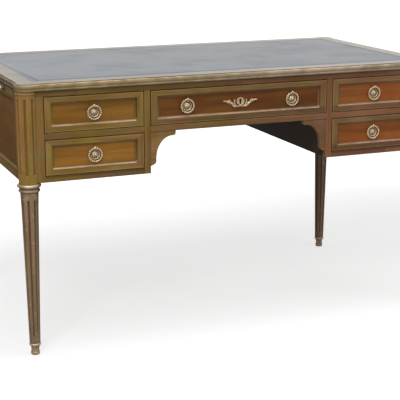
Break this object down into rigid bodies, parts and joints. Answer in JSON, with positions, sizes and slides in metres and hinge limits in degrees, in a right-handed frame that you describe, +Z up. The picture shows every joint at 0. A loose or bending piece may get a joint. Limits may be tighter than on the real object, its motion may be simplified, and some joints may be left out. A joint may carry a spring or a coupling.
{
  "type": "kneehole writing desk",
  "caption": "Kneehole writing desk with leather top, panelled drawers on slides, fluted corner posts running into tapered legs, brass ring pulls and pull-out side slides.",
  "frame": {"origin": "on the floor under the middle of the top", "axes": "+X along the front to the sitter's right seen from the front, +Y to the back, +Z up; the front faces -Y"},
  "size_m": [1.303, 0.724, 0.76],
  "materials": {
    "frame_wood": "satin french-polished walnut-toned frame wood",
    "veneer": "satin polished mahogany",
    "top_wood": "polished",
    "dark_wood": "ebonised satin",
    "carcase_wood": "plain oiled secondary wood",
    "leather": "smooth desk leather",
    "brass": "aged polished brass",
    "steel": "plain"
  },
  "bodies": {
    "case": {"top_border": "top_wood", "writing_leather": "leather", "top_core": "carcase_wood", "drawer_runners": "carcase_wood", "pedestal_bottoms": "carcase_wood", "slide_guides": "carcase_wood", "top_screws": "steel", "leg_collars": "brass", "foot_sabots": "brass", "post_front_left": "frame_wood", "leg_front_left": "frame_wood", "post_front_right": "frame_wood", "leg_front_right": "frame_wood", "post_back_left": "frame_wood", "leg_back_left": "frame_wood", "post_back_right": "frame_wood", "leg_back_right": "frame_wood", "front_top_rail": "frame_wood", "front_stiles": "frame_wood", "front_rails": "frame_wood", "back_frame": "frame_wood", "end_frame_left": "frame_wood", "end_frame_right": "frame_wood", "kneehole_brackets": "frame_wood", "end_panels": "veneer", "back_panels": "veneer", "kneehole_sides": "dark_wood"},
    "upper_left_drawer": {"upper_left_drawer_front": "veneer", "upper_left_drawer_sides": "carcase_wood", "upper_left_drawer_bottom": "carcase_wood", "upper_left_pull_plates": "brass"},
    "lower_left_drawer": {"lower_left_drawer_front": "veneer", "lower_left_drawer_sides": "carcase_wood", "lower_left_drawer_bottom": "carcase_wood", "lower_left_pull_plates": "brass"},
    "centre_drawer": {"centre_drawer_front": "veneer", "centre_drawer_sides": "carcase_wood", "centre_drawer_bottom": "carcase_wood", "centre_pull_plates": "brass", "escutcheon": "brass", "lock_case": "steel"},
    "upper_right_drawer": {"upper_right_drawer_front": "veneer", "upper_right_drawer_sides": "carcase_wood", "upper_right_drawer_bottom": "carcase_wood", "upper_right_pull_plates": "brass"},
    "lower_right_drawer": {"lower_right_drawer_front": "veneer", "lower_right_drawer_sides": "carcase_wood", "lower_right_drawer_bottom": "carcase_wood", "lower_right_pull_plates": "brass"},
    "upper_left_ring": {"upper_left_ring": "brass"},
    "lower_left_ring": {"lower_left_ring": "brass"},
    "centre_left_ring": {"centre_left_ring": "brass"},
    "centre_right_ring": {"centre_right_ring": "brass"},
    "upper_right_ring": {"upper_right_ring": "brass"},
    "lower_right_ring": {"lower_right_ring": "brass"},
    "lock_bolt": {"lock_bolt": "brass"},
    "slide_left": {"slide_left": "top_wood", "slide_knobs_left": "brass"},
    "slide_right": {"slide_right": "top_wood", "slide_knobs_right": "brass"}
  },
  "joints": [
    {"name": "upper_left_drawer_slide", "type": "slide", "parent": "case", "child": "upper_left_drawer", "axis": [0, -1, 0], "range_m": [0, 0.36]},
    {"name": "lower_left_drawer_slide", "type": "slide", "parent": "case", "child": "lower_left_drawer", "axis": [0, -1, 0], "range_m": [0, 0.36]},
    {"name": "centre_drawer_slide", "type": "slide", "parent": "case", "child": "centre_drawer", "axis": [0, -1, 0], "range_m": [0, 0.36]},
    {"name": "upper_right_drawer_slide", "type": "slide", "parent": "case", "child": "upper_right_drawer", "axis": [0, -1, 0], "range_m": [0, 0.36]},
    {"name": "lower_right_drawer_slide", "type": "slide", "parent": "case", "child": "lower_right_drawer", "axis": [0, -1, 0], "range_m": [0, 0.36]},
    {"name": "upper_left_ring_swing", "type": "hinge", "parent": "upper_left_drawer", "child": "upper_left_ring", "pos_m": [-0.43275, -0.345, 0.6911], "axis": [-1, 0, 0], "range_deg": [0, 85]},
    {"name": "lower_left_ring_swing", "type": "hinge", "parent": "lower_left_drawer", "child": "lower_left_ring", "pos_m": [-0.43275, -0.345, 0.5741], "axis": [-1, 0, 0], "range_deg": [0, 85]},
    {"name": "centre_left_ring_swing", "type": "hinge", "parent": "centre_drawer", "child": "centre_left_ring", "pos_m": [-0.162, -0.345, 0.6911], "axis": [-1, 0, 0], "range_deg": [0, 85]},
    {"name": "centre_right_ring_swing", "type": "hinge", "parent": "centre_drawer", "child": "centre_right_ring", "pos_m": [0.162, -0.345, 0.6911], "axis": [-1, 0, 0], "range_deg": [0, 85]},
    {"name": "upper_right_ring_swing", "type": "hinge", "parent": "upper_right_drawer", "child": "upper_right_ring", "pos_m": [0.43275, -0.345, 0.6911], "axis": [-1, 0, 0], "range_deg": [0, 85]},
    {"name": "lower_right_ring_swing", "type": "hinge", "parent": "lower_right_drawer", "child": "lower_right_ring", "pos_m": [0.43275, -0.345, 0.5741], "axis": [-1, 0, 0], "range_deg": [0, 85]},
    {"name": "lock_bolt_throw", "type": "slide", "parent": "centre_drawer", "child": "lock_bolt", "axis": [0, 0, 1], "range_m": [0, 0.008]},
    {"name": "slide_left_pull", "type": "slide", "parent": "case", "child": "slide_left", "axis": [-1, 0, 0], "range_m": [0, 0.25]},
    {"name": "slide_right_pull", "type": "slide", "parent": "case", "child": "slide_right", "axis": [1, 0, 0], "range_m": [0, 0.25]}
  ]
}
